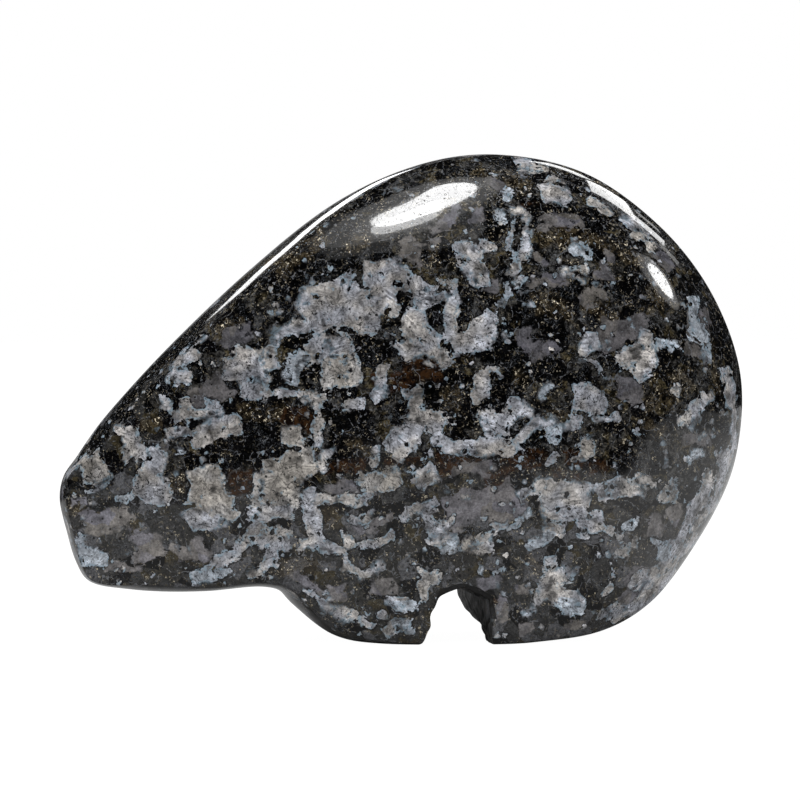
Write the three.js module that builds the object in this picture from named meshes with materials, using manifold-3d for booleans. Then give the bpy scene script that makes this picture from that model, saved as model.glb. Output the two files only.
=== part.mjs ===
// A polished stone bear standing on its feet: one slab of speckled stone, sawn to a side outline,
// then ground and polished round its edge. Millimetres, snout towards -X, near flank towards -Y, +Z up.

import * as THREE from 'three';
import { ParametricGeometry } from 'three/addons/geometries/ParametricGeometry.js';
import { mergeVertices } from 'three/addons/utils/BufferGeometryUtils.js';
import Module from 'manifold-3d';

// Thickness of the slab: half of it at the tip of the snout, over the shoulders and at the rump
const SNOUT_X = -38;
const SHOULDER_X = 12;
const RUMP_X = 38.5;
const SNOUT_HALF = 3.2;
const SHOULDER_HALF = 13.5;
const RUMP_HALF = 10.8;

// The flanks are thickest at mid height and thin out by this share towards the hump and the feet
const WAIST_Z = 26;
const BODY_REACH = 28;
const FLANK_DOME = 0.16;

// Two widths for each stretch of the edge: how far the shallow crown stands out beyond the two
// ridges beside it, and how far in from those ridges the flank rounds over.
const SNOUT_EDGE = [0.5, 0.5];
const CORNER_EDGE = [0.3, 0.5];
const MUZZLE_EDGE = [1, 0.8];
const BROW_EDGE = [2, 1];
const CREST_EDGE = [1.4, 4];
const NAPE_EDGE = [0.6, 11];
const SHOULDER_EDGE = [0.3, 17];
const HUMP_EDGE = [0.2, 20];
const RUMP_EDGE = [0.2, 18];
const HAUNCH_EDGE = [0.25, 14];
const HEEL_EDGE = [0.4, 9];
const SOLE_EDGE = [0.7, 5];
const FOOT_EDGE = [0.9, 2];
const CHIN_EDGE = [0.9, 1.5];

// Side outline, from the front of the snout over the hump and back along the feet and chin.
// The feet run a little below the ground, which cuts them flat.
const OUTLINE = [
  { x: -37.9, z: 15.9, edge: SNOUT_EDGE },
  { x: -37.4, z: 18.3, edge: CORNER_EDGE },
  { x: -36.0, z: 20.4, edge: MUZZLE_EDGE },
  { x: -33.1, z: 24.4, edge: BROW_EDGE },
  { x: -25.9, z: 32.3, edge: BROW_EDGE },
  { x: -16.0, z: 41.6, edge: CREST_EDGE },
  { x: -6.4, z: 48.9, edge: NAPE_EDGE },
  { x: 2.9, z: 52.9, edge: SHOULDER_EDGE },
  { x: 11.5, z: 53.8, edge: HUMP_EDGE },
  { x: 21.1, z: 51.6, edge: HUMP_EDGE },
  { x: 29.5, z: 45.5, edge: RUMP_EDGE },
  { x: 35.4, z: 37.6, edge: RUMP_EDGE },
  { x: 38.3, z: 28.6, edge: RUMP_EDGE },
  { x: 37.5, z: 19.0, edge: RUMP_EDGE },
  { x: 33.0, z: 10.3, edge: HAUNCH_EDGE },
  { x: 27.6, z: 4.0, edge: HEEL_EDGE },
  { x: 21.3, z: 0.7, edge: SOLE_EDGE },
  { x: 13.0, z: -0.5, edge: FOOT_EDGE },
  { x: 3.0, z: -0.7, edge: FOOT_EDGE },
  { x: -3.5, z: -0.4, edge: FOOT_EDGE },
  { x: -7.8, z: 0.6, edge: FOOT_EDGE },
  { x: -11.9, z: 3.7, edge: FOOT_EDGE },
  { x: -13.6, z: 5.4, edge: FOOT_EDGE },
  { x: -15.6, z: 5.9, edge: CHIN_EDGE },
  { x: -22.0, z: 5.5, edge: CHIN_EDGE },
  { x: -30.0, z: 5.7, edge: CHIN_EDGE },
  { x: -34.7, z: 6.7, edge: CORNER_EDGE },
  { x: -36.0, z: 8.6, edge: CORNER_EDGE },
  { x: -37.1, z: 12.0, edge: SNOUT_EDGE },
];

// Shape of the two roundings, and how soon a wide flank rounding eats the crown away
const CROWN_POWER = 1.15;
const FLANK_POWER = 2.5;
const FLANK_TO_CROWN = 20;

// Every line of the grid runs from the outline in to this point
const HEART_X = 4;
const HEART_Z = 25;
const LONGEST_ROUNDING = 0.92;

// Notch between the front and the hind foot
const NOTCH_FRONT = 1.5;
const NOTCH_BACK = 8.4;
const NOTCH_TOP = 6.2;
const NOTCH_SHOULDER = 4.9;
const NOTCH_FLARE = 2.2;
const BACK_CUT = 3.2;

// Grid of the stone, and the blocks that cut it
const STEPS_AROUND = 5 * OUTLINE.length;
const STEPS_OF_FLANK = 3;
const STEPS_OF_ROUNDING = 5;
const STEPS_OF_CROWN = 4;
const STEPS_ACROSS = 2 * (STEPS_OF_FLANK + STEPS_OF_ROUNDING + STEPS_OF_CROWN);
const CUT_DEPTH = 40;
const CUT_STEPS = 6;
const GROUND_LENGTH = 100;
const GROUND_DEPTH = 10;

const { clamp, lerp, smoothstep } = THREE.MathUtils;
const outline = new THREE.CatmullRomCurve3(
  OUTLINE.map(({ x, z }) => new THREE.Vector3(x, 0, z)), true, 'centripetal');
const edges = new THREE.CatmullRomCurve3(
  OUTLINE.map(({ edge: [crown, flank] }) => new THREE.Vector3(crown, flank, 0)), true, 'catmullrom');

// Half thickness of the slab at a place on the side view
function halfThickness(x, z) {
  const forward = clamp((x - SNOUT_X) / (SHOULDER_X - SNOUT_X), 0, 1);
  const backward = clamp((x - SHOULDER_X) / (RUMP_X - SHOULDER_X), 0, 1);
  const head = SNOUT_HALF + (SHOULDER_HALF - SNOUT_HALF) * Math.sin((Math.PI / 2) * forward);
  const body = head - (SHOULDER_HALF - RUMP_HALF) * backward ** 2;
  return body * (1 - FLANK_DOME * ((z - WAIST_Z) / BODY_REACH) ** 2);
}

// Share of the half thickness that is left at a depth in from the outline. The edge reaches in to
// edgeDepth. The flank's rounding stops short of closing at the ridge, and the crown closes the rest.
function rounding(depth, crown, edgeDepth) {
  const atRidge = crown / (crown + (edgeDepth - crown) / FLANK_TO_CROWN);
  const cutOff = 1 - (1 - atRidge ** 2) ** (1 / FLANK_POWER);
  const along = lerp(cutOff, 1, Math.min(depth / edgeDepth, 1));
  const flankShare = Math.sqrt(1 - (1 - along) ** FLANK_POWER);
  const crownShare = Math.sqrt(1 - Math.max(1 - depth / crown, 0) ** CROWN_POWER);
  return flankShare * crownShare;
}

// Point of the stone: u runs round the outline, v from the near flank over the edge to the far flank
function stonePoint(u, v, target) {
  const station = outline.getPoint(u % 1);
  const tangent = outline.getTangent(u % 1);
  const { x: crown, y: flank } = edges.getPoint(u % 1);
  const inward = new THREE.Vector3(HEART_X, 0, HEART_Z).sub(station);
  const reach = inward.length();
  inward.normalize();
  const slant = Math.abs(tangent.x * inward.z - tangent.z * inward.x);
  const wholeDepth = reach * slant;

  const stepsIn = Math.abs(2 * v - 1) * (STEPS_ACROSS / 2);
  const onCrown = clamp(stepsIn / STEPS_OF_CROWN, 0, 1);
  const onRounding = clamp((stepsIn - STEPS_OF_CROWN) / STEPS_OF_ROUNDING, 0, 1);
  const onFlank = clamp((stepsIn - STEPS_OF_CROWN - STEPS_OF_ROUNDING) / STEPS_OF_FLANK, 0, 1);
  const edgeDepth = Math.min(crown + flank, LONGEST_ROUNDING * wholeDepth);
  const depth = crown * (1 - Math.cos((Math.PI / 2) * onCrown))
    + (edgeDepth - crown) * onRounding ** 1.5
    + (wholeDepth - edgeDepth) * onFlank;

  const x = station.x + (inward.x * depth) / slant;
  const z = station.z + (inward.z * depth) / slant;
  const side = v < 0.5 ? -1 : 1;
  target.set(x, side * halfThickness(x, z) * rounding(depth, crown, edgeDepth), z);
}

// Geometry with shared corners and no collapsed triangles, as a closed solid
function closedSolid(wasm, geometry) {
  geometry.deleteAttribute('normal');
  geometry.deleteAttribute('uv');
  const merged = mergeVertices(geometry, 1e-3);
  const index = merged.getIndex().array;
  const triangles = [];
  for (let i = 0; i < index.length; i += 3) {
    const [a, b, c] = index.slice(i, i + 3);
    if (a !== b && b !== c && c !== a) triangles.push(a, b, c);
  }
  return new wasm.Manifold(new wasm.Mesh({
    numProp: 3,
    vertProperties: merged.getAttribute('position').array,
    triVerts: Uint32Array.from(triangles),
  }));
}

// Arch sawn through between the feet. On the far side it is cut back into the hind foot near the ground.
function notchGeometry() {
  const arch = new THREE.Shape();
  arch.moveTo(NOTCH_FRONT - NOTCH_FLARE, -1);
  arch.quadraticCurveTo(NOTCH_FRONT - 0.1, 0, NOTCH_FRONT, 1.5);
  arch.lineTo(NOTCH_FRONT + 0.3, NOTCH_TOP / 2);
  arch.quadraticCurveTo(NOTCH_FRONT + 0.8, NOTCH_TOP, 5, NOTCH_TOP);
  arch.quadraticCurveTo(6.4, NOTCH_TOP - 0.1, NOTCH_BACK - 0.3, NOTCH_SHOULDER);
  arch.lineTo(NOTCH_BACK - 0.15, (NOTCH_SHOULDER + 1.2) / 2);
  arch.lineTo(NOTCH_BACK, 1.2);
  arch.quadraticCurveTo(NOTCH_BACK + 0.1, 0, NOTCH_BACK + 1.2, -1);
  arch.closePath();
  const geometry = new THREE.ExtrudeGeometry(
    arch, { depth: CUT_DEPTH, steps: CUT_STEPS, bevelEnabled: false, curveSegments: 6 });
  geometry.translate(0, 0, -CUT_DEPTH / 2);
  geometry.rotateX(Math.PI / 2);
  const place = geometry.getAttribute('position');
  for (let i = 0; i < place.count; i += 1) {
    const back = smoothstep(place.getX(i), NOTCH_BACK - 1.5, NOTCH_BACK);
    const low = clamp(1 - place.getZ(i) / NOTCH_SHOULDER, 0, 1);
    const far = smoothstep(place.getY(i), -8, 8);
    place.setX(i, place.getX(i) + BACK_CUT * back * low ** 2 * far);
  }
  return geometry;
}

const stone = new THREE.MeshStandardMaterial({ color: 0x55565a, roughness: 0.12, metalness: 0 });

const wasm = await Module();
wasm.setup();

const slab = closedSolid(wasm, new ParametricGeometry(stonePoint, STEPS_AROUND, STEPS_ACROSS));
const ground = new THREE.BoxGeometry(GROUND_LENGTH, CUT_DEPTH, GROUND_DEPTH);
ground.translate(0, 0, -GROUND_DEPTH / 2);
const carved = slab
  .subtract(closedSolid(wasm, notchGeometry()))
  .subtract(closedSolid(wasm, ground))
  .getMesh();

const geometry = new THREE.BufferGeometry();
geometry.setAttribute('position', new THREE.BufferAttribute(carved.vertProperties, 3));
geometry.setIndex(new THREE.BufferAttribute(carved.triVerts, 1));
geometry.computeBoundingBox();
const middle = geometry.boundingBox.getCenter(new THREE.Vector3());
geometry.translate(-middle.x, -middle.y, 0);
geometry.computeVertexNormals();

const bear = new THREE.Mesh(geometry, stone);
bear.name = 'bear';

const carving = new THREE.Group();
carving.add(bear);

export default carving;
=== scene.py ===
import math

import bpy
import numpy as np
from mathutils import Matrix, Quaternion, Vector


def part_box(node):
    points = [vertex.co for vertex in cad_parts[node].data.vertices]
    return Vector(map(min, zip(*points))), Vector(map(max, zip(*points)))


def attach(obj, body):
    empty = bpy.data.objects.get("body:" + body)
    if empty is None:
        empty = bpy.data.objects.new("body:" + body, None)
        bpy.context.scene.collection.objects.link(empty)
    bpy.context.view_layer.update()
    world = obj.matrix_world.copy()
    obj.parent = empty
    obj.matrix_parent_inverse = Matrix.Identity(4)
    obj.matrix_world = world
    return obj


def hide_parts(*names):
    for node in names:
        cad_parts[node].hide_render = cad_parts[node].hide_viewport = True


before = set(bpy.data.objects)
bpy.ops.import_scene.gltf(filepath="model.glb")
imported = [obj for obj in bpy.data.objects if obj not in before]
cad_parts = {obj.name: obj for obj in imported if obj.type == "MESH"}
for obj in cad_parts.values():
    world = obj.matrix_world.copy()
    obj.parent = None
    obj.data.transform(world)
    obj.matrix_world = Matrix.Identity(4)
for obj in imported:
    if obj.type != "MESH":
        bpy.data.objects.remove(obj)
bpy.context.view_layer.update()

# The body of the bear is one slab of speckled black and grey stone, polished all over. It is sawn to
# the side outline, its flanks are ground a little domed, and its edge is ground round over the back
# and to a narrow crown between two ridges along the forehead, the chin and the feet.
MM = 0.001

SNOUT_X, SHOULDER_X, RUMP_X = -38.0, 12.0, 38.5
SNOUT_HALF, SHOULDER_HALF, RUMP_HALF = 3.2, 13.5, 10.8
WAIST_Z, BODY_REACH, FLANK_DOME = 26.0, 28.0, 0.16

SNOUT_EDGE = (0.5, 0.5)
CORNER_EDGE = (0.3, 0.5)
MUZZLE_EDGE = (1.0, 0.8)
BROW_EDGE = (2.0, 1.0)
CREST_EDGE = (1.4, 4.0)
NAPE_EDGE = (0.6, 11.0)
SHOULDER_EDGE = (0.3, 17.0)
HUMP_EDGE = (0.2, 20.0)
RUMP_EDGE = (0.2, 18.0)
HAUNCH_EDGE = (0.25, 14.0)
HEEL_EDGE = (0.4, 9.0)
SOLE_EDGE = (0.7, 5.0)
FOOT_EDGE = (0.9, 2.0)
CHIN_EDGE = (0.9, 1.5)

# Side outline in millimetres, from the front of the snout over the hump and back along the feet:
# x, z, then how wide the crown is and how far in from it the flank rounds over.
OUTLINE = np.array([
    (-37.9, 15.9, *SNOUT_EDGE),
    (-37.4, 18.3, *CORNER_EDGE),
    (-36.0, 20.4, *MUZZLE_EDGE),
    (-33.1, 24.4, *BROW_EDGE),
    (-25.9, 32.3, *BROW_EDGE),
    (-16.0, 41.6, *CREST_EDGE),
    (-6.4, 48.9, *NAPE_EDGE),
    (2.9, 52.9, *SHOULDER_EDGE),
    (11.5, 53.8, *HUMP_EDGE),
    (21.1, 51.6, *HUMP_EDGE),
    (29.5, 45.5, *RUMP_EDGE),
    (35.4, 37.6, *RUMP_EDGE),
    (38.3, 28.6, *RUMP_EDGE),
    (37.5, 19.0, *RUMP_EDGE),
    (33.0, 10.3, *HAUNCH_EDGE),
    (27.6, 4.0, *HEEL_EDGE),
    (21.3, 0.7, *SOLE_EDGE),
    (13.0, -0.5, *FOOT_EDGE),
    (3.0, -0.7, *FOOT_EDGE),
    (-3.5, -0.4, *FOOT_EDGE),
    (-7.8, 0.6, *FOOT_EDGE),
    (-11.9, 3.7, *FOOT_EDGE),
    (-13.6, 5.4, *FOOT_EDGE),
    (-15.6, 5.9, *CHIN_EDGE),
    (-22.0, 5.5, *CHIN_EDGE),
    (-30.0, 5.7, *CHIN_EDGE),
    (-34.7, 6.7, *CORNER_EDGE),
    (-36.0, 8.6, *CORNER_EDGE),
    (-37.1, 12.0, *SNOUT_EDGE),
])
CROWN_POWER, FLANK_POWER, FLANK_TO_CROWN = 1.3, 2.5, 20.0
LONGEST_ROUNDING = 0.92

# Where the rows of the grid end, and how many points it has
HEART = np.array((4.0, 25.0))
STEPS_PER_STATION = 14
CROWN_ROWS, NEAR_ROWS, FAR_ROWS = 12, 100, 78
NEAR_CROWDING, FAR_CROWDING = 1.35, 1.6


def closed_curve(points, steps, even):
    """Closed Catmull-Rom curve: a cubic over each span, whose end slopes come from the neighbouring
    points, weighed by the square roots of the chords, or all alike where the curve is even."""
    before, start, end, after = (np.roll(points, shift, 0)[:, None] for shift in (1, 0, -1, -2))

    def span(a, b):
        return np.ones((len(points), 1, 1)) if even else np.linalg.norm(b - a, axis=2, keepdims=True) ** 0.5

    into, here, out = span(before, start), span(start, end), span(end, after)
    rise = (start - before) / into - (end - before) / (into + here) + (end - start) / here
    fall = (end - start) / here - (after - start) / (here + out) + (after - end) / out
    t = np.linspace(0, 1, steps, endpoint=False)[None, :, None]
    curve = (
        (2 * t**3 - 3 * t**2 + 1) * start
        + (t**3 - 2 * t**2 + t) * rise * here
        + (3 * t**2 - 2 * t**3) * end
        + (t**3 - t**2) * fall * here
    )
    return curve.reshape(-1, points.shape[1])


def half_thickness(x, z):
    """A quarter sine from the snout to the shoulders, less a parabola towards the rump, all of it
    thinned by a parabola in height."""
    forward = np.clip((x - SNOUT_X) / (SHOULDER_X - SNOUT_X), 0, 1)
    backward = np.clip((x - SHOULDER_X) / (RUMP_X - SHOULDER_X), 0, 1)
    head = SNOUT_HALF + (SHOULDER_HALF - SNOUT_HALF) * np.sin(np.pi / 2 * forward)
    body = head - (SHOULDER_HALF - RUMP_HALF) * backward**2
    return body * (1 - FLANK_DOME * ((z - WAIST_Z) / BODY_REACH) ** 2)


def rounding(depth, crown, edge_depth):
    """Share of the half thickness left at a depth in from the outline: a superellipse over the flank,
    cut off at the ridge, times a second one that closes the crown."""
    at_ridge = crown / (crown + (edge_depth - crown) / FLANK_TO_CROWN)
    cut_off = 1 - (1 - at_ridge**2) ** (1 / FLANK_POWER)
    along = cut_off + (1 - cut_off) * np.minimum(depth / edge_depth, 1)
    flank_share = np.sqrt(1 - (1 - along) ** FLANK_POWER)
    crown_share = np.sqrt(1 - np.maximum(1 - depth / crown, 0) ** CROWN_POWER)
    return flank_share * crown_share


def body_grid():
    """Rows of points from the middle of the near flank over the edge to the middle of the far one.
    Each column starts at a point of the outline and runs in to the heart of the flank, with its rows
    crowded towards the crown, and its thickness is half_thickness times rounding."""
    station = closed_curve(OUTLINE[:, :2], STEPS_PER_STATION, even=False)
    crown, flank = closed_curve(OUTLINE[:, 2:], STEPS_PER_STATION, even=True).T
    tangent = np.roll(station, -1, 0) - np.roll(station, 1, 0)
    tangent /= np.linalg.norm(tangent, axis=1, keepdims=True)
    reach = np.linalg.norm(HEART - station, axis=1)
    inward = (HEART - station) / reach[:, None]
    slant = np.abs(tangent[:, 0] * inward[:, 1] - tangent[:, 1] * inward[:, 0])
    whole_depth = reach * slant
    edge_depth = np.minimum(crown + flank, LONGEST_ROUNDING * whole_depth)

    row = np.arange(-CROWN_ROWS - NEAR_ROWS, CROWN_ROWS + FAR_ROWS + 1)[:, None]
    on_crown = np.clip(np.abs(row) / CROWN_ROWS, 0, 1)
    on_flank = np.clip((np.abs(row) - CROWN_ROWS) / np.where(row < 0, NEAR_ROWS, FAR_ROWS), 0, 1)
    crowding = np.where(row < 0, NEAR_CROWDING, FAR_CROWDING)
    depth = crown * (1 - np.cos(np.pi / 2 * on_crown)) + (whole_depth - crown) * on_flank**crowding
    x = station[:, 0] + inward[:, 0] * depth / slant
    z = station[:, 1] + inward[:, 1] * depth / slant
    y = np.sign(row) * half_thickness(x, z) * rounding(depth, crown, edge_depth)
    return np.stack([x, y, z], -1)


def ball_mesh(name, grid):
    """Mesh of a grid whose columns close round on each other and whose first and last rows are poles."""
    rows, columns = grid.shape[:2]
    points = np.concatenate([grid[:1, 0], grid[1:-1].reshape(-1, 3), grid[-1:, 0]])
    index = 1 + np.arange((rows - 2) * columns).reshape(rows - 2, columns)
    beside = np.roll(index, -1, 1)
    quads = np.stack([index[:-1], beside[:-1], beside[1:], index[1:]], -1).reshape(-1, 4)
    first = np.stack([np.zeros(columns, int), beside[0], index[0]], -1)
    last = np.stack([index[-1], beside[-1], np.full(columns, len(points) - 1)], -1)
    mesh = bpy.data.meshes.new(name)
    mesh.from_pydata(points, [], first.tolist() + quads.tolist() + last.tolist())
    mesh.update()
    return mesh


SHORTEST_SHARE, LONGEST_SHARE = 0.7, 1.5


def wander(points, wavelength, seed, count=9):
    """Smooth noise of about one unit's swing: a sum of sines in seeded directions, each with a
    share of the wavelength drawn between two bounds, over the square root of their number."""
    rng = np.random.default_rng(seed)
    directions = rng.normal(size=(count, 3))
    directions /= np.linalg.norm(directions, axis=1, keepdims=True)
    waves = 2 * np.pi / (wavelength * rng.uniform(SHORTEST_SHARE, LONGEST_SHARE, count))
    phases = rng.uniform(0, 2 * np.pi, count)
    return np.sin(points @ directions.T * waves + phases).sum(1) / math.sqrt(count)


# Hand polishing leaves the faces very slightly wavy
POLISH_WAVE, POLISH_SWING = 11.0, 0.035


def read_points(mesh, what="co"):
    """The mesh's points, or their normals, as rows of three."""
    values = np.zeros(len(mesh.vertices) * 3)
    mesh.vertices.foreach_get(what, values)
    return values.reshape(-1, 3)


def polished(mesh):
    """Moves each point along its normal by a slow, small wave."""
    place = read_points(mesh)
    place += read_points(mesh, "normal") * (POLISH_SWING * wander(place, POLISH_WAVE, seed=3))[:, None]
    mesh.vertices.foreach_set("co", place.ravel())
    mesh.update()


def flip_outward(mesh):
    """Turns the faces of a closed mesh so that its volume is positive."""
    mesh.calc_loop_triangles()
    faces = np.zeros(len(mesh.loop_triangles) * 3, int)
    mesh.loop_triangles.foreach_get("vertices", faces)
    a, b, c = read_points(mesh)[faces.reshape(-1, 3)].transpose(1, 0, 2)
    if np.einsum("ij,ij->", a, np.cross(b, c)) < 0:
        mesh.flip_normals()


body = ball_mesh("bear", body_grid())
flip_outward(body)
polished(body)
bear = bpy.data.objects.new("stone_bear", body)
bpy.context.scene.collection.objects.link(bear)

# The stone is a mass of interlocked crystals: pale feldspar, some of it bluish or beige, in a ground
# of black and olive grains with gold glitter and rust between them. Those of the near flank are laid
# out one by one as boxes seen from the side: x, z, half length and half width in millimetres, and
# the lean in degrees. Elsewhere boxes of the same kinds lie at random.
BLUE_GRAINS = [
    (-25.4, 21.3, 0.6, 0.5, 0), (-13.2, 29.9, 1.5, 0.9, 65), (9.6, 38.7, 1.2, 0.5, 75),
    (10.5, 49.0, 0.9, 0.4, 60), (18.0, 42.9, 1.4, 0.6, -20), (9.4, 34.2, 0.9, 0.25, -75),
    (13.4, 27.5, 0.9, 0.45, 55), (14.8, 22.6, 0.8, 1.0, 0), (27.7, 33.0, 1.4, 0.5, 5),
    (31.0, 36.2, 0.8, 1.1, 0), (32.2, 33.6, 0.9, 0.9, 0), (24.2, 23.0, 0.7, 0.3, -25),
    (31.3, 20.8, 1.0, 0.5, 0), (30.4, 34.2, 0.7, 0.5, 30), (32.6, 31.6, 0.5, 0.6, 0),
    (-31.6, 15.9, 0.9, 0.5, -10), (-34.5, 16.8, 1.0, 0.25, 20), (-22.6, 7.5, 2.2, 0.7, 10),
    (-34.8, 9.7, 1.5, 0.9, -10), (10.8, 13.4, 1.6, 0.4, 28), (13.2, 11.1, 1.5, 0.5, 30),
    (6.7, 8.1, 0.75, 0.3, 70), (8.5, 8.2, 0.4, 0.4, 20), (-0.9, 4.6, 1.2, 0.6, 0),
    (-1.5, 2.0, 0.9, 0.9, 0), (9.2, 5.8, 0.7, 0.2, -55), (22.8, 12.8, 0.7, 0.65, 0),
    (26.3, 11.2, 0.6, 0.35, 0), (17.3, 4.2, 1.3, 0.9, 0), (27.6, 9.6, 1.2, 1.1, 0),
    (31.3, 37.5, 0.9, 0.6, -60), (11.9, 3.4, 0.6, 0.3, 0), (3.0, 10.7, 1.0, 0.6, 20),
    (9.3, 46.9, 0.35, 0.6, 0), (-36.0, 10.8, 0.3, 0.7, 0),
]
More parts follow.
